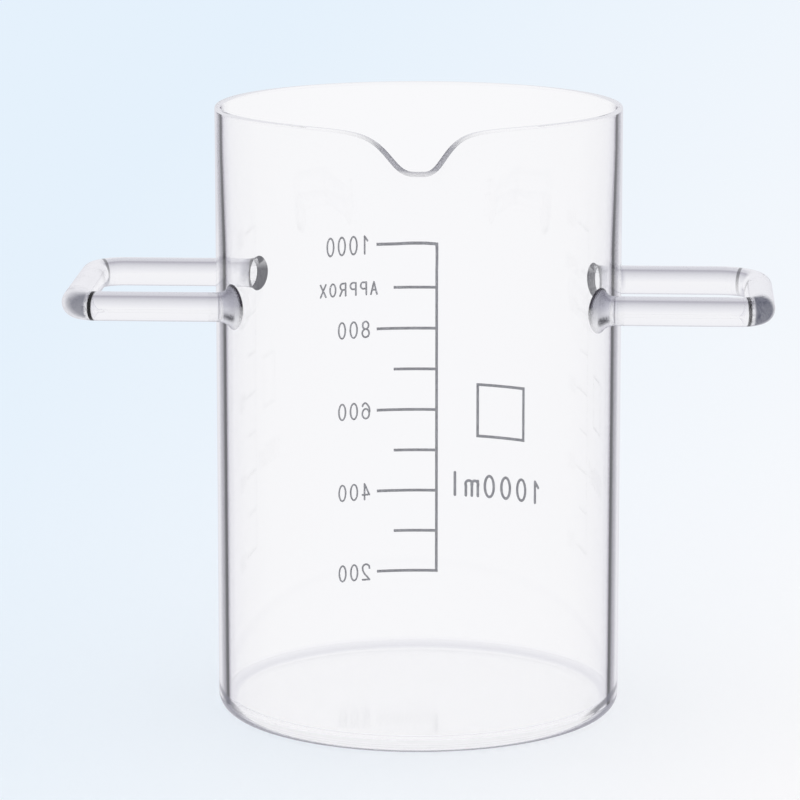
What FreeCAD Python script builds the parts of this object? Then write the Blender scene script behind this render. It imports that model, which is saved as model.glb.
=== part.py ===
import FreeCAD
import Part

import math
import os

Vector = FreeCAD.Vector
UP = Vector(0, 0, 1)
ORIGIN = Vector(0, 0, 0)

# All lengths are in millimetres and all angles in degrees.
# The origin is the centre of the resting face. The handles lie along X, the
# printed scale is centred on the +Y side, and the spout opens towards -Y.

# Vessel
outer_diameter = 109.0
overall_height = 165.0
wall_thickness = 2.3
rim_thickness = 1.75
floor_thickness = 3.3
corner_radius = 4.5
floor_fillet = 3.0
upturned_edge = 0.8

# Pouring spout, formed by hand out of the softened rim
spout_turn = 3.2
spout_reach = 8.0
spout_dip = 10.4
spout_depth = 36.0
spout_left_half = 8.6
spout_right_half = 7.1
spout_crispness = 3.5
spout_spread = 1.15
spout_roundness = 2.4

# Handles, each bent by hand from one solid rod, so that no two legs lie alike
rod_diameter = 7.8
handle_tilt = 1.0
left_height = 114.4
left_reach = 94.0
left_front_lane = 26.2
left_rear_lane = 26.5
left_front_bend = 6.5
left_rear_bend = 7.8
right_height = 113.9
right_reach = 95.3
right_front_lane = 23.8
right_rear_lane = 23.0
right_front_bend = 6.0
right_rear_bend = 10.5

# Welds of filler quartz at the rod ends
front_weld_diameter = 12.2
rear_weld_diameter = 9.6
weld_length = 4.5
weld_toe = 0.2
weld_taper = 2.5
weld_sections = 4

# Fired enamel marks on the outside of the rear wall
film_gap = 0.02
film_thickness = 0.08
line_width = 0.8
numeral_stroke = 0.52
label_stroke = 0.8
scale_step_ml = 100.0
scale_first_step = 2
scale_last_step = 10
scale_first_height = 25.0
spine_offset = -2.45
long_tick = 17.5
short_tick = 12.5
text_gap = 2.0
numeral_height = 5.0
numeral_width = 2.6
numeral_pitch = 3.65
word_step = 9
word_offset = 14.7
word_height = 4.0
word_width = 2.3
word_pitch = 3.17
square_side = 15.6
square_offset = -22.1
square_rise = 0.3
label_step = 4
label_offset = -20.2
label_rise = 1.9
label_height = 6.8
label_width = 3.6
label_pitch = 5.25
pen_depth = 6.0

# Resolution of the formed wall surface
ring_points = 96
ring_arcs = 4
formed_rows = 7
rim_rows = 5
seam_tolerance = 0.0001

# Sizes that follow
outer_radius = outer_diameter / 2
bore_radius = outer_radius - wall_thickness
rod_radius = rod_diameter / 2
seam_height = max(corner_radius, floor_thickness + floor_fillet) + upturned_edge
spout_start = overall_height - spout_depth
bore_area = math.pi * bore_radius ** 2
ml_step_height = scale_step_ml * 1000 / bore_area


def turned(shape, degrees):
    """The shape turned about the vessel's axis."""
    copy = shape.copy()
    copy.rotate(ORIGIN, UP, degrees)
    return copy


def solid_of(shape):
    """The one solid, or the group of solids, that a boolean result holds."""
    solids = shape.Solids
    return solids[0] if len(solids) == 1 else Part.makeCompound(solids)


def spout_share(arc, widening, crispness):
    """How much of the spout's form is left at an arc length from its middle, from 1 to 0."""
    half = spout_left_half if arc < 0 else spout_right_half
    return 1 / (1 + abs(arc / (half * widening)) ** crispness)


def wall_point(degrees, rise):
    """A point of the formed outer wall, at a rise of 0 where it starts to 1 at the rim."""
    arc = math.radians(degrees) * outer_radius
    rim = overall_height - spout_dip * spout_share(arc, 1, spout_crispness)
    bulge = spout_reach * spout_share(arc, spout_spread, spout_roundness) * max(rise, 0) ** 2
    around = math.radians(degrees + spout_turn)
    radius = outer_radius + bulge
    level = spout_start + rise * (rim - spout_start)
    return Vector(radius * math.sin(around), -radius * math.cos(around), level)


def thickness_at(rise):
    """How thick the formed wall is: it was drawn out thinner towards the rim."""
    return wall_thickness + (rim_thickness - wall_thickness) * rise ** 2


def formed_ring(rise, inset, drop):
    """A smooth closed wire round the formed wall, inset from its outside and dropped along it."""
    nudge = 0.001
    points = []
    for index in range(ring_points):
        degrees = 360 * index / ring_points - 180
        point = wall_point(degrees, rise)
        upward = (point - wall_point(degrees, rise - nudge)).normalize()
        sideways = wall_point(degrees + nudge, rise) - wall_point(degrees - nudge, rise)
        outward = sideways.cross(upward).normalize()
        points.append(point - outward * inset - upward * drop)
    curve = Part.BSplineCurve()
    knots = [float(index) for index in range(ring_points + 1)]
    curve.interpolate(Points=points, PeriodicFlag=True, Parameters=knots)
    share = ring_points / ring_arcs
    return Part.Wire([curve.toShape(share * arc, share * (arc + 1)) for arc in range(ring_arcs)])


def make_formed_wall():
    """The top of the tube, which the spout is formed in, with its fire-polished rim."""
    crest = rim_thickness / 2
    rises = [index / formed_rows for index in range(formed_rows)]
    outside = [formed_ring(rise, 0, 0) for rise in rises]
    inside = [formed_ring(rise, thickness_at(rise), 0) for rise in rises]
    rim = []
    for index in range(rim_rows):
        angle = math.pi * index / (rim_rows - 1)
        rim.append(formed_ring(1, crest - crest * math.cos(angle), crest - crest * math.sin(angle)))
    strips = (outside + rim[:1], rim, inside + rim[-1:])
    skins = [Part.makeLoft(rings, False, False) for rings in strips]
    seam = Part.Face(outside[0]).cut(Part.Face(inside[0]))
    faces = [face for skin in skins for face in skin.Faces]
    shell = Part.makeShell(faces + seam.Faces)
    shell.sewShape()
    return Part.makeSolid(shell)


def make_wall_tube():
    """The drawn tube and its formed top, in one piece."""
    length = spout_start - seam_height
    start = Vector(0, 0, seam_height)
    bore = Part.makeCylinder(bore_radius, length, start)
    tube = Part.makeCylinder(outer_radius, length, start).cut(bore)
    return solid_of(tube.fuse([make_formed_wall()], seam_tolerance).removeSplitter())


def revolved(edges):
    """The solid swept by a closed profile about the vessel's axis."""
    return Part.Face(Part.Wire(edges)).revolve(ORIGIN, UP, 360)


def quarter(centre, radius, start, end):
    """An arc in the XZ plane between two angles in degrees."""
    def at(degrees):
        angle = math.radians(degrees)
        return centre + Vector(radius * math.cos(angle), 0, radius * math.sin(angle))
    return Part.Arc(at(start), at((start + end) / 2), at(end)).toShape()


def make_base_disc():
    """The flat bottom with its rounded corner and the upturned edge that the tube is fused to."""
    corner = Vector(outer_radius - corner_radius, 0, corner_radius)
    fillet = Vector(bore_radius - floor_fillet, 0, floor_thickness + floor_fillet)
    outer_seam = Vector(outer_radius, 0, seam_height)
    inner_seam = Vector(bore_radius, 0, seam_height)
    floor_middle = Vector(0, 0, floor_thickness)
    return revolved([
        Part.LineSegment(ORIGIN, Vector(corner.x, 0, 0)).toShape(),
        quarter(corner, corner_radius, -90, 0),
        Part.LineSegment(Vector(outer_radius, 0, corner.z), outer_seam).toShape(),
        Part.LineSegment(outer_seam, inner_seam).toShape(),
        Part.LineSegment(inner_seam, Vector(bore_radius, 0, fillet.z)).toShape(),
        quarter(fillet, floor_fillet, 0, -90),
        Part.LineSegment(Vector(fillet.x, 0, floor_thickness), floor_middle).toShape(),
        Part.LineSegment(floor_middle, ORIGIN).toShape(),
    ])


def wall_core():
    """The space inside the outer wall, which the rods and welds end against."""
    return Part.makeCylinder(outer_radius, overall_height)


def wall_reach(lane):
    """How far out the wall is beside the vessel's axis, at a distance in front of or behind it."""
    return math.sqrt(outer_radius ** 2 - lane ** 2)


def tilted(shape, height):
    """The shape tilted about the line through both handles, so that its rear lies higher."""
    copy = shape.copy()
    copy.rotate(Vector(0, 0, height), Vector(1, 0, 0), handle_tilt)
    return copy


def make_handle(side, height, reach, front_lane, rear_lane, front_bend, rear_bend):
    """A rod bent into a loop: out from the wall along one lane, across and back along the other."""
    cross = reach - rod_radius

    def at(x, y):
        return Vector(side * x, y, height)

    def corner(lane, radius):
        away = math.copysign(1, lane)
        diagonal = radius * math.sqrt(0.5)
        centre_x = cross - radius
        centre_y = lane - away * radius
        leg_end = at(centre_x, lane)
        middle = at(centre_x + diagonal, centre_y + away * diagonal)
        return leg_end, middle, at(cross, centre_y)

    front_leg, front_middle, front_cross = corner(-front_lane, front_bend)
    rear_leg, rear_middle, rear_cross = corner(rear_lane, rear_bend)
    front_root = at(wall_reach(front_lane) - rod_diameter, -front_lane)
    rear_root = at(wall_reach(rear_lane) - rod_diameter, rear_lane)
    path = Part.Wire([
        Part.LineSegment(front_root, front_leg).toShape(),
        Part.Arc(front_leg, front_middle, front_cross).toShape(),
        Part.LineSegment(front_cross, rear_cross).toShape(),
        Part.Arc(rear_cross, rear_middle, rear_leg).toShape(),
        Part.LineSegment(rear_leg, rear_root).toShape(),
    ])
    section = Part.Wire([Part.makeCircle(rod_radius, front_root, Vector(1, 0, 0))])
    rod = path.makePipeShell([section], True, False)
    return solid_of(tilted(rod, height).cut(wall_core()))


def make_weld(side, height, lane, diameter):
    """A trumpet of filler that spreads from the rod on to the wall."""
    root = wall_reach(lane)
    lean = math.asin(lane / outer_radius)
    foot = diameter / 2
    toe = rod_radius + weld_toe
    buried = -rod_radius / weld_length
    shares = [buried] + [index / weld_sections for index in range(weld_sections + 1)]
    sections = []
    for share in shares:
        flare = (1 - max(share, 0)) ** weld_taper
        tilt = lean * (1 - max(share, 0))
        centre = Vector(side * (root + share * weld_length), lane, height)
        normal = Vector(side * math.cos(tilt), math.sin(tilt), 0)
        sections.append(Part.Wire([Part.makeCircle(toe + (foot - toe) * flare, centre, normal)]))
    trumpet = Part.makeLoft(sections, True, False)
    start = Vector(side * (root - rod_diameter * 2), lane, height)
    rod = Part.makeCylinder(rod_radius, rod_diameter * 4, start, Vector(side, 0, 0))
    return solid_of(tilted(trumpet.cut(rod), height).cut(wall_core()))


def film_shell(low, high):
    """The thin ring of space just outside the wall that a fired mark fills."""
    inner = outer_radius + film_gap
    outer = Part.makeCylinder(inner + film_thickness, high - low, Vector(0, 0, low))
    return outer.cut(Part.makeCylinder(inner, high - low, Vector(0, 0, low)))


def patch(left, right, low, high):
    """A printed bar: from left to right as read from behind, in arc length from the middle."""
    inner = outer_radius + film_gap
    span = math.degrees((right - left) / outer_radius)
    start = Vector(0, 0, low)
    wedge = Part.makeCylinder(inner + film_thickness, high - low, start, UP, span)
    bar = wedge.cut(Part.makeCylinder(inner, high - low, start))
    return turned(bar, 90 + math.degrees(left / outer_radius))


def capsule(start, end, stroke):
    """A straight pen stroke with round ends."""
    along = (end - start).normalize() * (stroke / 2)
    across = Vector(-along.z, 0, along.x)
    return Part.Face(Part.Wire([
        Part.LineSegment(start + across, end + across).toShape(),
        Part.Arc(end + across, end + along, end - across).toShape(),
        Part.LineSegment(end - across, start - across).toShape(),
        Part.Arc(start - across, start - along, start + across).toShape(),
    ]))


def bow(start, middle, end, stroke):
    """A pen stroke along the arc through three points, with round ends."""
    circle = Part.Arc(start, middle, end).toShape().Curve
    centre = circle.Center
    outer = 1 + stroke / 2 / circle.Radius
    inner = 1 - stroke / 2 / circle.Radius

    def at(point, scale):
        return centre + (point - centre) * scale

    def cap(point, away):
        spoke = (point - centre).normalize()
        tangent = Vector(-spoke.z, 0, spoke.x)
        if tangent.dot(point - away) < 0:
            tangent = tangent * -1
        return point + tangent * (stroke / 2)

    return Part.Face(Part.Wire([
        Part.Arc(at(start, outer), at(middle, outer), at(end, outer)).toShape(),
        Part.Arc(at(end, outer), cap(end, middle), at(end, inner)).toShape(),
        Part.Arc(at(end, inner), at(middle, inner), at(start, inner)).toShape(),
        Part.Arc(at(start, inner), cap(start, middle), at(start, outer)).toShape(),
    ]))


def oval(centre, half_width, half_height, stroke):
    """A closed oval pen stroke."""
    def face(grow):
        curve = Part.Ellipse(ORIGIN, half_height + grow, half_width + grow)
        disc = Part.Face(Part.Wire([curve.toShape()]))
        disc.rotate(ORIGIN, UP, 90)
        disc.rotate(ORIGIN, Vector(1, 0, 0), 90)
        disc.translate(centre)
        return disc
    return face(stroke / 2).cut(face(-stroke / 2)).Faces[0]


def glyph_strokes(letter, width, height, stroke):
    """The pen strokes of one letter or digit, in a cell whose lower left corner is the origin."""
    edge = stroke / 2
    wide = width - stroke
    tall = height - stroke

    def at(across, up):
        return Vector(edge + across * wide, 0, edge + up * tall)

    def run(*places):
        return [capsule(at(*a), at(*b), stroke) for a, b in zip(places, places[1:])]

    def curve(a, b, c):
        return [bow(at(*a), at(*b), at(*c), stroke)]

    def loop(across, up, half_wide, half_tall):
        return [oval(at(across, up), half_wide * wide, half_tall * tall, stroke)]

    def stem_and_bowl():
        top = run((0, 0), (0, 1), (0.6, 1))
        return top + curve((0.6, 1), (0.95, 0.74), (0.6, 0.48)) + run((0.6, 0.48), (0, 0.48))

    if letter == "0" or letter == "O":
        return loop(0.5, 0.5, 0.5, 0.5)
    if letter == "1":
        return run((0.2, 0.74), (0.62, 1), (0.62, 0))
    if letter == "2":
        top = curve((0, 0.74), (0.5, 1), (1, 0.74))
        return top + curve((1, 0.74), (0.82, 0.46), (0.42, 0.24)) + run((0.42, 0.24), (0, 0), (1, 0))
    if letter == "4":
        return run((0.7, 1), (0, 0.3), (1, 0.3)) + run((0.7, 1), (0.7, 0))
    if letter == "6":
        back = curve((0, 0.34), (0.12, 0.8), (0.55, 1)) + curve((0.55, 1), (0.82, 0.94), (0.96, 0.8))
        return loop(0.5, 0.31, 0.5, 0.31) + back
    if letter == "8":
        return loop(0.5, 0.76, 0.43, 0.24) + loop(0.5, 0.26, 0.5, 0.26)
    if letter == "A":
        return run((0, 0), (0.5, 1), (1, 0)) + run((0.18, 0.36), (0.82, 0.36))
    if letter == "P":
        return stem_and_bowl()
    if letter == "R":
        return stem_and_bowl() + run((0.55, 0.48), (1, 0))
    if letter == "X":
        return run((0, 0), (1, 1)) + run((0, 1), (1, 0))
    if letter == "m":
        strokes = run((-0.1, 0), (-0.1, 0.72))
        for post in (0.55, 1.2):
            strokes += curve((post - 0.65, 0.48), (post - 0.3, 0.72), (post, 0.48))
            strokes += run((post, 0.48), (post, 0))
        return strokes
    if letter == "l":
        return run((0.5, 0), (0.5, 1.08))
    raise ValueError("no strokes for " + letter)


def fired_glyph(letter, offset, level, width, height, stroke):
    """One letter laid on the rear wall, its left edge at an arc length and its foot at a level."""
    faces = glyph_strokes(letter, width, height, stroke)
    near = outer_radius - pen_depth / 2
    prisms = []
    for face in faces:
        face.translate(Vector(-width / 2, near, level))
        prisms.append(face.extrude(Vector(0, pen_depth, 0)))
    pen = prisms[0] if len(prisms) == 1 else prisms[0].fuse(prisms[1:])
    # The rear wall is read from behind, so left to right runs towards -X.
    mirrored = pen.mirror(ORIGIN, Vector(1, 0, 0))
    film = mirrored.common(film_shell(level - stroke, level + height + 2 * stroke))
    return turned(film, math.degrees((offset + width / 2) / outer_radius))


def fired_text(text, offset, middle, width, height, stroke, pitch):
    """A line of text, its left edge at an arc length and its middle at a level."""
    solids = []
    for index, letter in enumerate(text):
        place = offset + index * pitch
        solids += fired_glyph(letter, place, middle - height / 2, width, height, stroke).Solids
    return Part.makeCompound(solids)


def mark_level(step):
    """The height of a graduation line, from the bore and the volume between two lines."""
    return scale_first_height + (step - scale_first_step) * ml_step_height


def make_scale_lines():
    """The upright line with its long and short graduations."""
    half = line_width / 2
    bars = [patch(spine_offset - half, spine_offset + half,
                  mark_level(scale_first_step) - half, mark_level(scale_last_step) + half)]
    for step in range(scale_first_step, scale_last_step + 1):
        reach = long_tick if step % 2 == 0 else short_tick
        level = mark_level(step)
        bars.append(patch(spine_offset - half, spine_offset + reach, level - half, level + half))
    return solid_of(bars[0].fuse(bars[1:]).removeSplitter())


def make_scale_numerals():
    """The volumes at every second line."""
    solids = []
    offset = spine_offset + long_tick + text_gap
    for step in range(scale_first_step, scale_last_step + 1, 2):
        text = str(int(step * scale_step_ml))
        solids += fired_text(text, offset, mark_level(step), numeral_width, numeral_height,
                             numeral_stroke, numeral_pitch).Solids
    return Part.makeCompound(solids)


def make_approx_mark():
    """The word that says the scale is not exact."""
    return fired_text("APPROX", word_offset, mark_level(word_step), word_width, word_height,
                      numeral_stroke, word_pitch)


def make_capacity_mark():
    """The nominal capacity, under the marking square."""
    text = str(int(scale_last_step * scale_step_ml)) + "ml"
    offset = label_offset - label_pitch * len(text) / 2
    middle = mark_level(label_step) + label_rise
    return fired_text(text, offset, middle, label_width, label_height, label_stroke, label_pitch)


def make_marking_square():
    """The open square kept for a note in pencil."""
    left = square_offset - square_side / 2
    right = square_offset + square_side / 2
    middle = mark_level((scale_first_step + scale_last_step) / 2) + square_rise
    low = middle - square_side / 2
    high = middle + square_side / 2
    bars = [
        patch(left, right, high - line_width, high),
        patch(left, right, low, low + line_width),
        patch(left, left + line_width, low, high),
        patch(right - line_width, right, low, high),
    ]
    return solid_of(bars[0].fuse(bars[1:]).removeSplitter())


def main():
    os.makedirs("parts", exist_ok=True)
    nodes = {
        "wall_tube": make_wall_tube(),
        "base_disc": make_base_disc(),
        "left_handle": make_handle(-1, left_height, left_reach, left_front_lane, left_rear_lane,
                                   left_front_bend, left_rear_bend),
        "right_handle": make_handle(1, right_height, right_reach, right_front_lane, right_rear_lane,
                                    right_front_bend, right_rear_bend),
        "left_front_weld": make_weld(-1, left_height, -left_front_lane, front_weld_diameter),
        "left_rear_weld": make_weld(-1, left_height, left_rear_lane, rear_weld_diameter),
        "right_front_weld": make_weld(1, right_height, -right_front_lane, front_weld_diameter),
        "right_rear_weld": make_weld(1, right_height, right_rear_lane, rear_weld_diameter),
        "scale_lines": make_scale_lines(),
        "scale_numerals": make_scale_numerals(),
        "approx_mark": make_approx_mark(),
        "capacity_mark": make_capacity_mark(),
        "marking_square": make_marking_square(),
    }
    for name, shape in nodes.items():
        shape.exportStep("parts/" + name + ".step")
        print(name, len(shape.Solids), "solids", round(shape.Volume, 3), "mm3 valid", shape.isValid())


main()
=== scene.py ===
import math

import bpy
from mathutils import Matrix, Vector


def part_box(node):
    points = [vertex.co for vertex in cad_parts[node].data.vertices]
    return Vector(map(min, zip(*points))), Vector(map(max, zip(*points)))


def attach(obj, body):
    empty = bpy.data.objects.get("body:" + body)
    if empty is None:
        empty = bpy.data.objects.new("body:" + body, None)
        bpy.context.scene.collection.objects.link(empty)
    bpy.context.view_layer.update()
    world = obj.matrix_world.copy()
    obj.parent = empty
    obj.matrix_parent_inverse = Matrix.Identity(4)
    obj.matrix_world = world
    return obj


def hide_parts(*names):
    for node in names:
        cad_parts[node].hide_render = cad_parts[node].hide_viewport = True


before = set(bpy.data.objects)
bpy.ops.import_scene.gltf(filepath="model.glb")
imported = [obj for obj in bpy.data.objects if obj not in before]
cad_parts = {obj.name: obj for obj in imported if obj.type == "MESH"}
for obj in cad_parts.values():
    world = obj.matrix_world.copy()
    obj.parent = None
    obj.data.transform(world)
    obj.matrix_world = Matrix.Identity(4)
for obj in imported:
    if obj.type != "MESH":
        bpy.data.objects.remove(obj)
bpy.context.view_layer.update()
mm = 0.001

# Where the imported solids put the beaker
wallLow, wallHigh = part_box("wall_tube")
outerRadius = wallHigh.x
rimLevel = wallHigh.z
scene = bpy.context.scene
mergeDistance = 0.002 * mm


# Small helpers for working in edit mode
def startPiece(addPrimitive, name, **settings):
    bpy.ops.object.select_all(action="DESELECT")
    addPrimitive(**settings)
    piece = bpy.context.object
    piece.name = name
    piece.data.name = name
    bpy.ops.object.transform_apply(location=True, rotation=True, scale=True)
    bpy.ops.object.mode_set(mode="EDIT")
    bpy.ops.mesh.select_mode(type="VERT")
    bpy.ops.mesh.select_all(action="SELECT")
    return piece


def pushOut(x=0.0, y=0.0, z=0.0):
    bpy.ops.mesh.extrude_region_move(TRANSFORM_OT_translate={"value": (x, y, z)})


def scaleAbout(centre, factor):
    bpy.ops.transform.resize(value=(factor, factor, factor), center_override=tuple(centre))


def cleanUp(piece, sharpAngle):
    bpy.ops.mesh.select_all(action="SELECT")
    bpy.ops.mesh.remove_doubles(threshold=mergeDistance)
    bpy.ops.mesh.normals_make_consistent(inside=False)
    bpy.ops.object.mode_set(mode="OBJECT")
    bpy.ops.object.shade_smooth_by_angle(angle=math.radians(sharpAngle))
    return piece


# Shader maths, written as expressions on sockets
class Signal:
    def __init__(self, finish, socket):
        self.finish = finish
        self.socket = socket

    def combine(self, operation, first, second=0.0):
        return self.finish.add("ShaderNodeMath", {"operation": operation}, {0: first, 1: second})

    def __add__(self, other):
        return self.combine("ADD", self, other)

    def __radd__(self, other):
        return self.combine("ADD", other, self)

    def __sub__(self, other):
        return self.combine("SUBTRACT", self, other)

    def __rsub__(self, other):
        return self.combine("SUBTRACT", other, self)

    def __mul__(self, other):
        return self.combine("MULTIPLY", self, other)

    def __rmul__(self, other):
        return self.combine("MULTIPLY", other, self)

    def __truediv__(self, other):
        return self.combine("DIVIDE", self, other)

    def __rtruediv__(self, other):
        return self.combine("DIVIDE", other, self)

    def __pow__(self, other):
        return self.combine("POWER", self, other)

    def __abs__(self):
        return self.combine("ABSOLUTE", self)

    def below(self, limit):
        return self.combine("LESS_THAN", self, limit)

    def above(self, limit):
        return self.combine("GREATER_THAN", self, limit)

    def atLeast(self, limit):
        return self.combine("MAXIMUM", self, limit)

    def limited(self):
        return self.finish.add("ShaderNodeClamp", None, {"Value": self})


# A material's node tree. Colours are given as red, green and blue, and are opaque
class Finish:
    def __init__(self, name, tree=None):
        if tree is None:
            self.material = bpy.data.materials.new(name)
            self.material.use_nodes = True
            tree = self.material.node_tree
        self.tree = tree
        self.tree.nodes.clear()

    def feed(self, socket, value):
        if isinstance(value, Signal):
            self.tree.links.new(value.socket, socket)
        elif socket.type == "RGBA":
            socket.default_value = (*value, 1.0)
        else:
            socket.default_value = value

    def add(self, kind, settings=None, inputs=None, output=0):
        node = self.tree.nodes.new(kind)
        for name, value in (settings or {}).items():
            setattr(node, name, value)
        for name, value in (inputs or {}).items():
            self.feed(node.inputs[name], value)
        return Signal(self, node.outputs[output]) if len(node.outputs) else node

    def ramp(self, stops, factor):
        ramped = self.add("ShaderNodeValToRGB", None, {"Fac": factor})
        elements = ramped.socket.node.color_ramp.elements
        while len(elements) < len(stops):
            elements.new(1.0)
        for element, (place, tone) in zip(elements, stops):
            element.position = place
            element.color = (*tone, 1.0)
        return ramped

    def mixColour(self, factor, first, second, blend="MIX"):
        return self.add("ShaderNodeMix", {"data_type": "RGBA", "blend_type": blend},
                        {0: factor, 6: first, 7: second}, output=2)

    def mixShader(self, factor, first, second):
        return self.add("ShaderNodeMixShader", None, {0: factor, 1: first, 2: second})

    def glow(self, colour):
        return self.add("ShaderNodeEmission", None, {"Color": colour})

    def noise(self, size, detail):
        return self.add("ShaderNodeTexNoise", None,
                        {"Vector": self.place(), "Scale": size, "Detail": detail})

    def bump(self, height, strength, distance):
        return self.add("ShaderNodeBump", None,
                        {"Height": height, "Strength": strength, "Distance": distance})

    def split(self, vector):
        parts = self.add("ShaderNodeSeparateXYZ", None, {"Vector": vector}).socket.node.outputs
        return [Signal(self, part) for part in parts]

    def place(self):
        return self.add("ShaderNodeTexCoord", output="Object")

    def axes(self):
        return self.split(self.place())

    def facing(self):
        return self.add("ShaderNodeLayerWeight", None, {"Blend": 0.5}, output="Facing")

    def geometry(self, kind):
        return self.add("ShaderNodeNewGeometry", output=kind)

    def rayIs(self, kind):
        return self.add("ShaderNodeLightPath", output=kind)


def shade(red, green, blue):
    def linear(level):
        level = level / 255
        return level / 12.92 if level <= 0.04045 else ((level + 0.055) / 1.055) ** 2.4
    return (linear(red), linear(green), linear(blue))


white = (1.0, 1.0, 1.0)

# Measures of the rod handles and of the feet that are fused to the wall
handle = {
    "ringPoints": 96,
    "rod": 7.8 * mm,
    "tilt": 1.0,
    "frontWeld": 12.2 * mm,
    "rearWeld": 9.6 * mm,
    "weldLength": 4.5 * mm,
    "weldTaper": 2.5,
    "weldRings": 24,
    "capRings": (0.97, 0.7, 0.5),
    "bendSteps": 32,
    "straightSteps": 3,
    "gap": 0.02 * mm,
    "fusedReach": 0.06 * mm,
    "fusedShare": 0.98,
    "footSlack": 0.01 * mm,
    "sharpAngle": 50,
}
bends = {
    "left": {"side": -1, "height": 114.4 * mm, "frontLane": 26.2 * mm, "rearLane": 26.5 * mm,
             "frontBend": 6.5 * mm, "rearBend": 7.8 * mm},
    "right": {"side": 1, "height": 113.9 * mm, "frontLane": 23.8 * mm, "rearLane": 23.0 * mm,
              "frontBend": 6.0 * mm, "rearBend": 10.5 * mm},
}
rodRadius = handle["rod"] / 2
handleLevel = (bends["left"]["height"] + bends["right"]["height"]) / 2


# The wall and the feet have no surface between them where they are fused
def underFoot(finish):
    across, along, height = finish.axes()
    covered = 0.0
    for bend in bends.values():
        onSide = (across * bend["side"]).above(0.0)
        feet = [(-bend["frontLane"], handle["frontWeld"]), (bend["rearLane"], handle["rearWeld"])]
        for lane, weld in feet:
            lean = math.sqrt(1 - (lane / outerRadius) ** 2)
            middle = bend["height"] + lane * math.radians(handle["tilt"])
            sideways = (along - lane) / (weld * lean / 2)
            upwards = (height - middle) / (weld / 2)
            inside = (sideways * sideways + upwards * upwards).below(handle["fusedShare"])
            covered = covered + onSide * inside
    return covered


def atFoot(finish):
    across, along, height = finish.axes()
    return (across * across + along * along).below((outerRadius + handle["fusedReach"]) ** 2)


# Clear fused quartz. A ramp on facing paints shade into its colour, from face-on at 0 to edge-on at 1
quartz = {
    "ior": 1.458,
    "shadowStrength": 0.08,
    "wallWave": 0.006,
    "rodWave": 0.02,
    "waveSize": 45.0,
    "waveDetail": 1.0,
    "waveDepth": 1.0 * mm,
    "rodHaze": 3.0,
    "deepest": 14.0,
    # A painted glow that the deepest rays get in the glass
    "deepGlow": shade(232, 232, 236),
    "thinFrom": 0.7825 * rimLevel,
    "thinOver": 0.16 * rimLevel,
    "lineShift": 0.042,
    "floorBlur": 0.12,
    "cornerBlur": 0.09,
    # A painted pale glow on the base corner: its share, where it stops towards edge-on, and its colour
    "cornerGlowShare": 0.5,
    "cornerEdge": 0.56,
    "cornerGlow": shade(244, 244, 247),
    "filletFoot": 3.3 * mm,
    "filletRise": 3.0 * mm,
}


def finishGlass(finish, colour, wave, haze=0.0, joined=None, paintedGlows=(), blur=0.0):
    unevenness = finish.noise(quartz["waveSize"], quartz["waveDetail"])
    glass = finish.add("ShaderNodeBsdfPrincipled", None, {
        "Base Color": colour,
        "Roughness": blur,
        "IOR": quartz["ior"],
        "Transmission Weight": 1.0,
        "Normal": finish.bump(unevenness, wave, quartz["waveDepth"]),
    })
    clear = finish.add("ShaderNodeBsdfTransparent")
    soft = (1 - quartz["shadowStrength"]) * finish.rayIs("Is Diffuse Ray")
    surface = finish.mixShader(soft, glass, clear)
    # Painted glows, pale and dark, mixed over the glass
    for factor, shown in paintedGlows:
        surface = finish.mixShader(factor, surface, finish.glow(shown))
    # Past the deepest ray, the glass shows a painted glow in place of the light that long paths inside
    # it would bring
    lost = finish.rayIs("Ray Depth").above(quartz["deepest"])
    surface = finish.mixShader(lost, surface, finish.glow(quartz["deepGlow"]))
    if joined:
        surface = finish.mixShader(joined(finish), surface, clear)
    inputs = {"Surface": surface}
    if haze > 0:
        inputs["Volume"] = finish.add("ShaderNodeVolumeAbsorption", None, {"Density": haze})
    finish.add("ShaderNodeOutputMaterial", None, inputs)
    return finish.material


# Painted shade: a dark streak low on the left and right sides, where the floor's corner meets the wall.
# It is fixed to the object and shows where the wall is seen edge-on
cornerShade = {
    "colour": (0.01, 0.01, 0.02),
    "strength": 0.9,
    "start": 0.81,
    "startSharpness": 12.0,
    "middle": 0.85,
    "level": 4.2 * mm,
    "slope": 20 * mm,
    "width": 0.95 * mm,
    "crown": 1.4,
    "edge": 0.3,
    "edgeSharpness": 5.0,
}


def paintCornerShade(finish, facing):
    across, along, height = finish.axes()
    outward = abs(across) / outerRadius
    level = (outward - cornerShade["middle"]) * cornerShade["slope"] + cornerShade["level"]
    off = (height - level) / cornerShade["width"]
    shape = (cornerShade["crown"] - off * off).limited()
    shape = shape * ((outward - cornerShade["start"]) * cornerShade["startSharpness"]).limited()
    turned = ((facing - cornerShade["edge"]) * cornerShade["edgeSharpness"]).limited()
    return shape * turned * (1.0 - finish.geometry("Backfacing")) * cornerShade["strength"]


def makeWallQuartz(name, stops, joined=None, shift=0.0, blur=0.0, glowShare=0.0):
    finish = Finish(name)
    height = finish.axes()[2]
    facing = finish.facing()
    thinned = ((height - quartz["thinFrom"]) / quartz["thinOver"]).limited()
    # A painted pale glow where one is asked for; below, the ramp's painted shade, and on the outside and
    # the base corner the painted corner streak
    paintedGlows = [(glowShare * facing.below(quartz["cornerEdge"]), quartz["cornerGlow"])] if glowShare else ()
    paintedShade = finish.ramp(stops, facing - thinned * shift)
    if shift or glowShare:
        paintedShade = finish.mixColour(paintCornerShade(finish, facing), paintedShade, cornerShade["colour"])
    return finishGlass(finish, paintedShade, quartz["wallWave"], joined=joined, paintedGlows=paintedGlows, blur=blur)


# The rim is pale all round, with slight painted shade at its edges, and painted shade down the sides of
# the spout
lip = {
    "pale": rimLevel - 0.5 * mm,
    "darkOver": 4.0 * mm,
    "end": rimLevel - 9.5 * mm,
    "endOver": 0.7 * mm,
    "endFade": 0.45,
}


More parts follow.
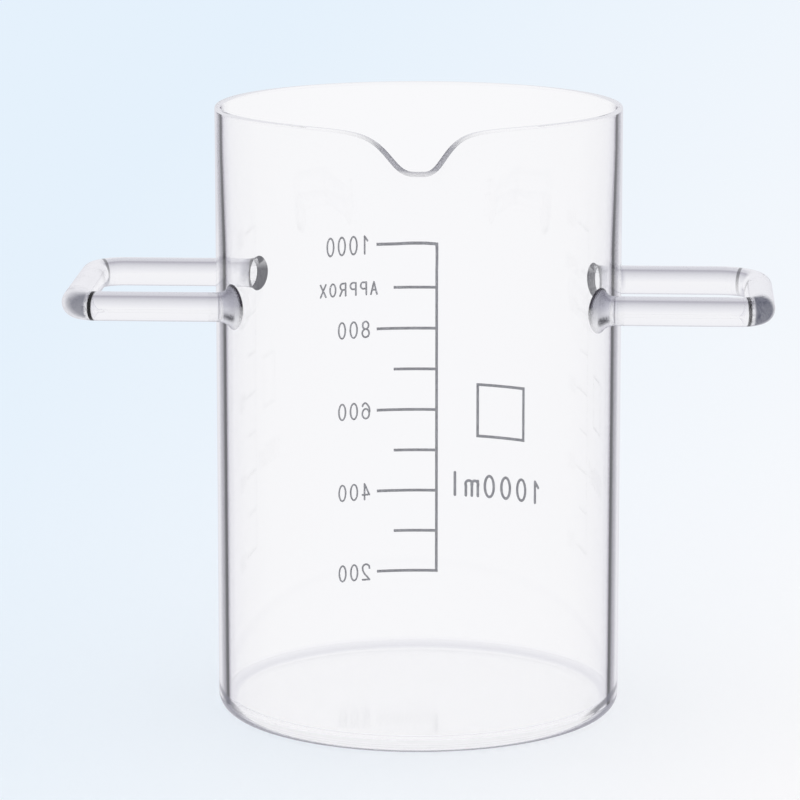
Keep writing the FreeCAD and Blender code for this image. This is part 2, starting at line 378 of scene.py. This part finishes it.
def makeRimQuartz():
    finish = Finish("fire_polished_rim")
    facing = finish.facing()
    pale = finish.ramp([
        (0.0, white),
        (0.6, (0.98, 0.98, 0.99)),
        (1.0, (0.90, 0.90, 0.93)),
    ], facing)
    dark = finish.ramp([
        (0.0, (0.25, 0.25, 0.28)),
        (0.5, (0.10, 0.10, 0.12)),
        (1.0, (0.03, 0.03, 0.04)),
    ], facing)
    height = finish.axes()[2]
    # Painted shade down the sides of the spout, fading at its lowest end
    spoutShade = ((lip["pale"] - height) / lip["darkOver"]).limited()
    spoutShade = spoutShade * (1.0 - ((lip["end"] - height) / lip["endOver"]).limited() * lip["endFade"])
    return finishGlass(finish, finish.mixColour(spoutShade, pale, dark), quartz["wallWave"])


# The inner floor's rounded edge: painted shade in a band just above its foot, none on rays leaving the
# glass
def makeFilletQuartz():
    finish = Finish("softened_floor_edge")
    height = finish.axes()[2]
    paintedShade = finish.ramp([
        (0.0, (0.86, 0.86, 0.89)),
        (0.12, (0.74, 0.74, 0.79)),
        (0.35, (0.80, 0.80, 0.84)),
        (0.75, (0.95, 0.95, 0.97)),
        (1.0, white),
    ], (height - quartz["filletFoot"]) / quartz["filletRise"])
    paintedShade = finish.mixColour(finish.geometry("Backfacing"), paintedShade, white)
    return finishGlass(finish, paintedShade, quartz["wallWave"], blur=quartz["cornerBlur"])


# Near each bend: a dark ring round the rod, and in front a painted glow beyond it, pale with a dark core
bendRings = {
    "left_front": {"place": 84.6 * mm, "slope": 0.27, "width": 0.60 * mm, "ring": 1.0,
                   "fade": 0.0, "core": 0.85, "spread": 0.66},
    "left_rear": {"place": 89.7 * mm, "slope": 0.50, "width": 0.55 * mm, "ring": 0.85,
                  "fade": 0.8, "core": 0.0, "spread": 0.0},
    "right_front": {"place": 88.0 * mm, "slope": 0.18, "width": 0.50 * mm, "ring": 0.97,
                    "fade": 0.0, "core": 1.0, "spread": 0.95},
    "right_rear": {"place": 87.6 * mm, "slope": 0.28, "width": 0.50 * mm, "ring": 0.85,
                   "fade": 0.8, "core": 0.0, "spread": 0.0},
}
bendMarks = {
    "clearLane": 14 * mm,
    "ringCrown": 1.6,
    "fadeBelow": 2.5 * mm,
    "fadeOver": 6 * mm,
    "coreFrom": 0.9 * mm,
    "coreOver": 0.8 * mm,
    "coreLane": 16 * mm,
    "coreLaneOver": 6 * mm,
    "headSharpness": 3.0,
    "glowShare": 0.85,
    "pale": shade(228, 228, 234),
    "core": shade(96, 98, 112),
}
# Painted shade on the legs: dark along their lower edge and over their upper side, and the cross bars
# painted paler
legs = {
    "crossFrom": 83 * mm,
    "crossOver": 2 * mm,
    "topSharpness": 4.0,
    "topEdge": (0.96, 0.96, 0.98),
    "rimFrom": 0.60,
    "rimSharpness": 5.0,
    "rearShare": 0.6,
    "rimPale": (0.95, 0.95, 0.97),
    "echoFrom": 1.5,
    "echoTo": 3.5,
}
# The roots of the legs: painted shade at the wall, and a dark painted glow at the rear
roots = {
    "lowFrom": 1.0 * mm,
    "lowOver": 5.0 * mm,
    "lowShare": 0.8,
    "blur": 0.25,
    # The dark painted glow at the rear roots: its colour, reach, strength and fade
    "rearRootShade": shade(48, 48, 58),
    "rearShadeReach": 0.95,
    "rearShadeStrength": 0.97,
    "rearShadeFade": 0.60,
    "fadeFrom": 1.5 * mm,
    "fadeOver": 3.0 * mm,
}


def bendRingsAndGlow(facing, across, along, height):
    outward = abs(across)
    light, glowShare, core = 1.0, 0.0, 0.0
    for name, mark in bendRings.items():
        side, end = name.split("_")
        sign = -1 if end == "front" else 1
        here = (across * bends[side]["side"]).above(0.0) * (along * sign).above(bendMarks["clearLane"])
        lane = bends[side][end + "Lane"]
        beyond = outward - (along * (sign * mark["slope"]) + (mark["place"] - mark["slope"] * lane))
        off = beyond / mark["width"]
        low = ((bends[side]["height"] + bendMarks["fadeBelow"] - height) / bendMarks["fadeOver"]).limited()
        strength = here * mark["ring"] * (1.0 - low * mark["fade"])
        light = light * (1.0 - strength * (bendMarks["ringCrown"] - off * off).limited())
        # The painted glow in front, pale with a dark core
        if mark["core"]:
            inside = here * ((beyond - bendMarks["coreFrom"]) / bendMarks["coreOver"]).limited()
            inside = inside * ((along * sign - bendMarks["coreLane"]) / bendMarks["coreLaneOver"]).limited()
            head = ((mark["spread"] - facing) * bendMarks["headSharpness"]).limited()
            glowShare = glowShare + inside
            core = core + inside * head * mark["core"]
    return light, glowShare, core


def rootShade(finish, clearance, height):
    dark = finish.ramp([
        (0.0, (0.0, 0.0, 0.0)),
        (0.09, (0.004, 0.003, 0.006)),
        (0.18, (0.22, 0.22, 0.26)),
        (0.55, (0.38, 0.38, 0.43)),
        (0.75, (0.60, 0.60, 0.66)),
        (1.0, white),
    ], clearance)
    low = ((handleLevel + roots["lowFrom"] - height) / roots["lowOver"]).limited()
    return finish.mixColour(low * roots["lowShare"], dark, white)


def makeRodQuartz():
    finish = Finish("drawn_rod")
    facing = finish.facing()
    across, along, height = finish.axes()
    upward = finish.split(finish.geometry("Normal"))[2]
    # Painted shade at the rod's edges, kept pale along the top and on the cross bars
    edge = finish.ramp([
        (0.0, white),
        (0.55, (0.96, 0.96, 0.98)),
        (0.78, (0.45, 0.45, 0.51)),
        (1.0, (0.08, 0.08, 0.11)),
    ], facing)
    crossing = ((abs(across) - legs["crossFrom"]) / legs["crossOver"]).limited()
    top = (upward * legs["topSharpness"] + crossing).limited()
    edge = finish.mixColour(top, edge, legs["topEdge"])
    # Painted shade by how far the surface faces up
    lift = finish.ramp([
        (0.0, (0.93, 0.93, 0.95)),
        (0.19, (0.85, 0.85, 0.88)),
        (0.38, (0.71, 0.71, 0.75)),
        (0.54, (0.56, 0.56, 0.60)),
        (0.65, (0.42, 0.42, 0.47)),
        (0.76, (0.24, 0.23, 0.28)),
        (0.80, (0.24, 0.23, 0.28)),
        (0.86, (0.46, 0.46, 0.51)),
        (1.0, (0.56, 0.56, 0.62)),
    ], upward)
    rear = along.above(0.0)
    paler = ((facing - legs["rimFrom"]) * legs["rimSharpness"]).limited()
    paler = paler * (crossing + rear * legs["rearShare"]).limited()
    lift = finish.mixColour(paler, lift, legs["rimPale"])
    light, glowShare, core = bendRingsAndGlow(facing, across, along, height)
    clearance = ((across * across + along * along) ** 0.5 - outerRadius) / handle["weldLength"]
    paintedShade = edge
    for factor in (lift, light, rootShade(finish, clearance, height)):
        paintedShade = finish.mixColour(1.0, paintedShade, factor, "MULTIPLY")
    leaving = finish.geometry("Backfacing")
    depth = finish.rayIs("Ray Depth")
    echo = depth.above(legs["echoFrom"]) * depth.below(legs["echoTo"])
    paintedShade = finish.mixColour((leaving + echo).limited(), paintedShade, white)
    fade = ((height - handleLevel - roots["fadeFrom"]) / roots["fadeOver"]).limited()
    # A dark painted glow on the far side of the rear roots, in place of shade
    rearRootShade = leaving * rear * clearance.below(roots["rearShadeReach"])
    rearRootShade = rearRootShade * (roots["rearShadeStrength"] - roots["rearShadeFade"] * fade)
    # The painted glow in the bends, pale with a dark core
    bendGlow = glowShare.limited() * (1.0 - leaving) * bendMarks["glowShare"]
    bendGlowColour = finish.mixColour(core.limited(), bendMarks["pale"], bendMarks["core"])
    blur = clearance.below(1.0) * along.below(0.0) * roots["blur"]
    return finishGlass(finish, paintedShade, quartz["rodWave"], quartz["rodHaze"], atFoot,
                       [(rearRootShade, roots["rearRootShade"]), (bendGlow, bendGlowColour)], blur)


# Painted shade by facing: the dark lines in the wall, its inside and the base corner
outerQuartz = makeWallQuartz("fire_polished_outside", [
    (0.0, white),
    (0.35, white),
    (0.50, (0.96, 0.96, 0.97)),
    (0.60, (0.90, 0.90, 0.93)),
    (0.66, (0.74, 0.73, 0.78)),
    (0.685, (0.30, 0.28, 0.33)),
    (0.70, (0.0, 0.0, 0.0)),
    (0.735, (0.0, 0.0, 0.0)),
    (0.80, (0.22, 0.21, 0.25)),
    (0.86, (0.85, 0.85, 0.90)),
    (1.0, white),
], underFoot, quartz["lineShift"])
innerQuartz = makeWallQuartz("fire_polished_inside", [
    (0.0, white),
    (0.71, (0.97, 0.97, 0.97)),
    (0.80, (0.88, 0.88, 0.90)),
    (0.86, (0.65, 0.64, 0.68)),
    (0.90, (0.36, 0.35, 0.39)),
    (0.94, (0.06, 0.05, 0.08)),
    (1.0, (0.004, 0.003, 0.006)),
])
baseQuartz = makeWallQuartz("rounded_base_corner", [
    (0.0, white),
    (0.52, (0.96, 0.96, 0.97)),
    (0.62, (0.55, 0.55, 0.60)),
    (0.70, (0.10, 0.10, 0.13)),
    (1.0, (0.05, 0.05, 0.07)),
], blur=quartz["cornerBlur"], glowShare=quartz["cornerGlowShare"])
filletQuartz = makeFilletQuartz()
floorQuartz = makeWallQuartz("flat_floor", [(0.0, white), (1.0, white)], blur=quartz["floorBlur"])
rimQuartz = makeRimQuartz()
rodQuartz = makeRodQuartz()
print("quartz finishes made")


# The drawn tube with its base: a profile spun round the axis, with the spout formed in it
vessel = {
    "segments": 480,
    "wall": 2.3 * mm,
    "rim": 1.6 * mm,
    "floor": 3.3 * mm,
    "corner": 4.5 * mm,
    "fillet": 3.0 * mm,
    "arcSteps": 24,
    "plainRows": 8,
    "formedRows": 34,
    "rimSteps": 10,
    "spoutTurn": 3.2,
    "spoutReach": 8.0 * mm,
    "spoutDip": 10.4 * mm,
    "spoutDepth": 36.0 * mm,
    "spoutLeft": 8.6 * mm,
    "spoutRight": 7.1 * mm,
    "spoutCrispness": 3.5,
    "spoutSpread": 1.15,
    "spoutRoundness": 2.4,
    "flatness": 0.99,
    "support": 1.0 * mm,
    "sharpAngle": 60,
}
spoutStart = rimLevel - vessel["spoutDepth"]
crest = vessel["rim"] / 2


def arcPoints(centreX, centreZ, radius, start, end, steps):
    points = []
    for index in range(steps + 1):
        angle = math.radians(start + (end - start) * index / steps)
        points.append((centreX + radius * math.cos(angle), centreZ + radius * math.sin(angle)))
    return points


def vesselProfile():
    bore = outerRadius - vessel["wall"]
    corner = vessel["corner"]
    fillet = vessel["fillet"]
    floor = vessel["floor"]
    steps = vessel["arcSteps"]
    outside = [(outerRadius, corner + (spoutStart - corner) * index / vessel["plainRows"])
               for index in range(1, vessel["plainRows"])]
    formed = [spoutStart + (vessel["spoutDepth"] - 2 * crest) * index / vessel["formedRows"]
              for index in range(vessel["formedRows"] + 1)]
    outside += [(outerRadius, level) for level in formed]
    inside = [(bore, level) for radius, level in reversed(outside)]
    profile = [(0.0, 0.0), (outerRadius - corner - vessel["support"], 0.0)]
    profile += arcPoints(outerRadius - corner, corner, corner, -90, 0, steps)
    profile += outside
    profile += arcPoints(outerRadius - crest, rimLevel - crest, crest, 0, 180, vessel["rimSteps"])
    profile += inside
    profile += arcPoints(bore - fillet, floor + fillet, fillet, 0, -90, steps)
    profile += [(bore - fillet - vessel["support"], floor), (0.0, floor)]
    return profile


def spoutShare(arc, spread, crispness):
    half = vessel["spoutLeft"] if arc < 0 else vessel["spoutRight"]
    return 1 / (1 + abs(arc / (half * spread)) ** crispness)


def wallPoint(angle, rise):
    arc = angle * outerRadius
    rim = rimLevel - vessel["spoutDip"] * spoutShare(arc, 1, vessel["spoutCrispness"])
    share = spoutShare(arc, vessel["spoutSpread"], vessel["spoutRoundness"])
    radius = outerRadius + vessel["spoutReach"] * share * max(rise, 0) ** 2
    around = angle + math.radians(vessel["spoutTurn"])
    level = spoutStart + rise * (rim - spoutStart)
    return Vector((radius * math.sin(around), -radius * math.cos(around), level))


def formSpout(piece):
    nudge = 0.0005
    rimFoot = rimLevel - crest - mergeDistance / 2
    turn = math.radians(vessel["spoutTurn"])
    for vertex in piece.data.vertices:
        place = vertex.co
        if place.z <= spoutStart:
            continue
        angle = math.atan2(place.x, -place.y) - turn
        angle = (angle + math.pi) % (2 * math.pi) - math.pi
        inset = outerRadius - math.hypot(place.x, place.y)
        onRim = place.z > rimFoot
        rise = 1.0 if onRim else (place.z - spoutStart) / vessel["spoutDepth"]
        drop = rimLevel - place.z if onRim else 0.0
        if not onRim:
            inset *= 1 + (vessel["rim"] / vessel["wall"] - 1) * rise * rise * (3 - 2 * rise)
        point = wallPoint(angle, rise)
        upward = (wallPoint(angle, rise + nudge) - wallPoint(angle, rise - nudge)).normalized()
        sideways = wallPoint(angle + nudge, rise) - wallPoint(angle - nudge, rise)
        outward = sideways.cross(upward).normalized()
        vertex.co = point - outward * inset - upward * drop


def makeVessel():
    piece = startPiece(bpy.ops.mesh.primitive_plane_add, "beaker_body", size=1 * mm)
    bpy.ops.mesh.merge(type="CENTER")
    profile = vesselProfile()
    for (x, z), (lastX, lastZ) in zip(profile[1:], profile):
        pushOut(x - lastX, 0.0, z - lastZ)
    bpy.ops.mesh.select_all(action="SELECT")
    bpy.ops.mesh.spin(steps=vessel["segments"], angle=2 * math.pi, center=(0, 0, 0), axis=(0, 0, 1))
    cleanUp(piece, vessel["sharpAngle"])
    finishes = [outerQuartz, innerQuartz, baseQuartz, rimQuartz, filletQuartz, floorQuartz]
    for finish in finishes:
        piece.data.materials.append(finish)
    middle = outerRadius - vessel["wall"] / 2
    for face in piece.data.polygons:
        level = face.center.z
        inside = math.hypot(face.center.x, face.center.y) < middle and level > vessel["floor"] / 2
        chosen = outerQuartz
        if level > rimLevel - crest:
            chosen = rimQuartz
        elif inside and abs(face.normal.z) > vessel["flatness"]:
            chosen = floorQuartz
        elif inside and level < vessel["floor"] + vessel["fillet"]:
            chosen = filletQuartz
        elif inside:
            chosen = innerQuartz
        elif level < vessel["corner"]:
            chosen = baseQuartz
        face.material_index = finishes.index(chosen)
    formSpout(piece)
    return piece


beakerBody = makeVessel()
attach(beakerBody, "root")
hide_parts("wall_tube", "base_disc")
print("beaker body spun", len(beakerBody.data.polygons), "faces")


# Rod handles with the weld at each foot, each drawn as one run of rod
def wallReach(lane):
    return math.sqrt(outerRadius ** 2 - lane ** 2)


def weldRadius(share, lane):
    foot = (handle["frontWeld"] if lane < 0 else handle["rearWeld"]) / 2
    return rodRadius + (foot - rodRadius) * (1 - share) ** handle["weldTaper"]


def drawRun(x, y, steps):
    for _ in range(steps):
        pushOut(x / steps, y / steps, 0.0)


def drawWeld(side, lane, height, outward):
    rings = handle["weldRings"]
    length = handle["weldLength"]
    shares = [index / rings for index in range(rings + 1)]
    if not outward:
        shares.reverse()
    for last, share in zip(shares, shares[1:]):
        pushOut(side * length * (share - last), 0.0, 0.0)
        centre = (side * (wallReach(lane) + length * share), lane, height)
        scaleAbout(centre, weldRadius(share, lane) / weldRadius(last, lane))


def closeFoot(side, lane, height):
    bpy.ops.mesh.select_all(action="DESELECT")
    piece = bpy.context.object
    bpy.ops.object.mode_set(mode="OBJECT")
    foot = side * wallReach(lane)
    for vertex in piece.data.vertices:
        onFoot = abs(vertex.co.x - foot) < handle["footSlack"]
        vertex.select = onFoot and abs(vertex.co.y - lane) < handle["frontWeld"]
    bpy.ops.object.mode_set(mode="EDIT")
    centre = (foot, lane, height)
    for factor in handle["capRings"]:
        pushOut()
        scaleAbout(centre, factor)
    bpy.ops.mesh.edge_face_add()


def seatFeet(piece, side, lanes):
    length = handle["weldLength"]
    for vertex in piece.data.vertices:
        lane = min(lanes, key=lambda value: abs(value - vertex.co.y))
        share = max((abs(vertex.co.x) - wallReach(lane)) / length, 0.0)
        if share < 1:
            lean = wallReach(lane) / outerRadius
            vertex.co.y = lane + (vertex.co.y - lane) * (1 - (1 - lean) * (1 - share))
            seat = wallReach(vertex.co.y) + handle["gap"] - wallReach(lane)
            vertex.co.x += side * seat * (1 - share)


def tiltAbout(piece, height):
    turn = Matrix.Rotation(math.radians(handle["tilt"]), 4, "X")
    lift = Matrix.Translation((0, 0, height))
    piece.data.transform(lift @ turn @ lift.inverted())


def makeHandle(name, node, bend):
    low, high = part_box(node)
    side = bend["side"]
    reach = max(abs(low.x), abs(high.x))
    cross = reach - rodRadius
    front, rear = -bend["frontLane"], bend["rearLane"]
    height = bend["height"]
    length = handle["weldLength"]
    piece = startPiece(bpy.ops.mesh.primitive_circle_add, name, vertices=handle["ringPoints"],
                       radius=weldRadius(0, front), fill_type="NOTHING",
                       location=(side * wallReach(front), front, height), rotation=(0, math.pi / 2, 0))
    drawWeld(side, front, height, True)
    drawRun(side * (cross - bend["frontBend"] - wallReach(front) - length), 0.0, handle["straightSteps"])
    centre = (side * (cross - bend["frontBend"]), front + bend["frontBend"], height)
    bpy.ops.mesh.spin(steps=handle["bendSteps"], angle=math.pi / 2, center=centre, axis=(0, 0, -side))
    drawRun(0.0, rear - bend["rearBend"] - front - bend["frontBend"], handle["straightSteps"])
    centre = (side * (cross - bend["rearBend"]), rear - bend["rearBend"], height)
    bpy.ops.mesh.spin(steps=handle["bendSteps"], angle=math.pi / 2, center=centre, axis=(0, 0, -side))
    drawRun(-side * (cross - bend["rearBend"] - wallReach(rear) - length), 0.0, handle["straightSteps"])
    drawWeld(side, rear, height, False)
    closeFoot(side, front, height)
    closeFoot(side, rear, height)
    cleanUp(piece, handle["sharpAngle"])
    seatFeet(piece, side, (front, rear))
    tiltAbout(piece, height)
    piece.data.materials.append(rodQuartz)
    return piece


for side, bend in bends.items():
    made = makeHandle(side + "_loop_handle", side + "_handle", bend)
    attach(made, "root")
    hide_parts(side + "_handle", side + "_front_weld", side + "_rear_weld")
    low, high = [tuple(round(edge(v.co[i] for v in made.data.vertices) / mm, 2) for i in range(3))
                 for edge in (min, max)]
    print(made.name, len(made.data.polygons), "faces from", low, "to", high)


# Fired enamel marks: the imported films, with a better finish
enamel = {
    "colour": shade(126, 126, 132),
    "lighter": shade(142, 142, 148),
    "grain": 900.0,
    "grainDetail": 3.0,
    "coarseness": 0.2,
    "depth": 0.05 * mm,
    "roughness": 0.6,
    "faintFrom": 5.5,
    "faint": 0.75,
}


def makeEnamel():
    finish = Finish("fired_grey_enamel")
    grain = finish.noise(enamel["grain"], enamel["grainDetail"])
    colour = finish.ramp([(0.35, enamel["colour"]), (0.65, enamel["lighter"])], grain)
    coat = finish.add("ShaderNodeBsdfPrincipled", None, {
        "Base Color": colour,
        "Roughness": enamel["roughness"],
        "Normal": finish.bump(grain, enamel["coarseness"], enamel["depth"]),
    })
    echo = finish.rayIs("Ray Depth").above(enamel["faintFrom"]) * enamel["faint"]
    surface = finish.mixShader(echo, coat, finish.add("ShaderNodeBsdfTransparent"))
    finish.add("ShaderNodeOutputMaterial", None, {"Surface": surface})
    return finish.material


enamelFinish = makeEnamel()
for node in ("scale_lines", "scale_numerals", "approx_mark", "capacity_mark", "marking_square"):
    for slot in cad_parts[node].material_slots:
        slot.material = enamelFinish
print("enamel marks finished")


# Studio: a pale floor, a pale surround that lights the scene, and the camera. The floor's fade is
# fixed to the floor, and fans out from the photograph's viewpoint
studio = {
    "floorSize": 16.0,
    "floorBlue": shade(229, 241, 252),
    "floorWhite": shade(251, 251, 253),
    "seenThrough": shade(249, 249, 251),
    "seenInGloss": shade(224, 224, 231),
    "surround": shade(236, 243, 250),
    "light": white,
    "floorDrop": 0.05 * mm,
    "viewDistance": 1.152,
    "nearest": 0.5,
    "fadeNear": 0.722,
    "fadeSide": 3.57,
    "bounces": 24,
    "clearBounces": 16,
}
camera = {
    "place": (0.05931, -1.1506, 0.30405),
    "turn": (79.213, 0.0, 3.2),
    "lens": 194.985,
    "sensor": 36.0,
    "farthest": 50.0,
}


def makeFloorFinish():
    finish = Finish("pale_floor")
    across, along, height = finish.axes()
    near = 1.0 / (along + studio["viewDistance"]).atLeast(studio["nearest"])
    share = near * studio["fadeNear"] + across * near * studio["fadeSide"]
    colour = finish.ramp([(0.0, studio["floorBlue"]), (1.0, studio["floorWhite"])], share)
    cloth = finish.add("ShaderNodeBsdfDiffuse", None, {"Color": colour})
    surface = finish.mixShader(finish.rayIs("Is Glossy Ray"), cloth, finish.glow(studio["seenInGloss"]))
    through = finish.glow(studio["seenThrough"])
    surface = finish.mixShader(finish.rayIs("Is Transmission Ray"), surface, through)
    finish.add("ShaderNodeOutputMaterial", None, {"Surface": surface})
    return finish.material


def makeSurround():
    world = bpy.data.worlds.new("pale_surround")
    scene.world = world
    world.use_nodes = True
    finish = Finish("pale_surround", world.node_tree)
    colours = [
        ("Is Camera Ray", studio["surround"]),
        ("Is Glossy Ray", studio["seenInGloss"]),
        ("Is Transmission Ray", studio["seenThrough"]),
    ]
    colour = studio["light"]
    for ray, shown in colours:
        colour = finish.mixColour(finish.rayIs(ray), colour, shown)
    background = finish.add("ShaderNodeBackground", None, {"Color": colour})
    finish.add("ShaderNodeOutputWorld", None, {"Surface": background})


def makeFloor():
    bpy.ops.object.select_all(action="DESELECT")
    bpy.ops.mesh.primitive_plane_add(size=studio["floorSize"], location=(0, 0, 0))
    floor = bpy.context.object
    floor.name = "studio_floor"
    floor.location.z = -studio["floorDrop"]
    bpy.ops.object.transform_apply(location=True)
    floor.data.materials.append(makeFloorFinish())


def makeCamera():
    bpy.ops.object.camera_add(location=camera["place"],
                              rotation=[math.radians(angle) for angle in camera["turn"]])
    eye = bpy.context.object
    eye.data.sensor_width = camera["sensor"]
    eye.data.lens = camera["lens"]
    eye.data.clip_end = camera["farthest"]
    scene.camera = eye


makeFloor()
makeSurround()
makeCamera()
scene.view_settings.view_transform = "Standard"
scene.cycles.max_bounces = studio["bounces"]
scene.cycles.transmission_bounces = studio["bounces"]
scene.cycles.glossy_bounces = studio["bounces"]
scene.cycles.transparent_max_bounces = studio["clearBounces"]
print("studio set")
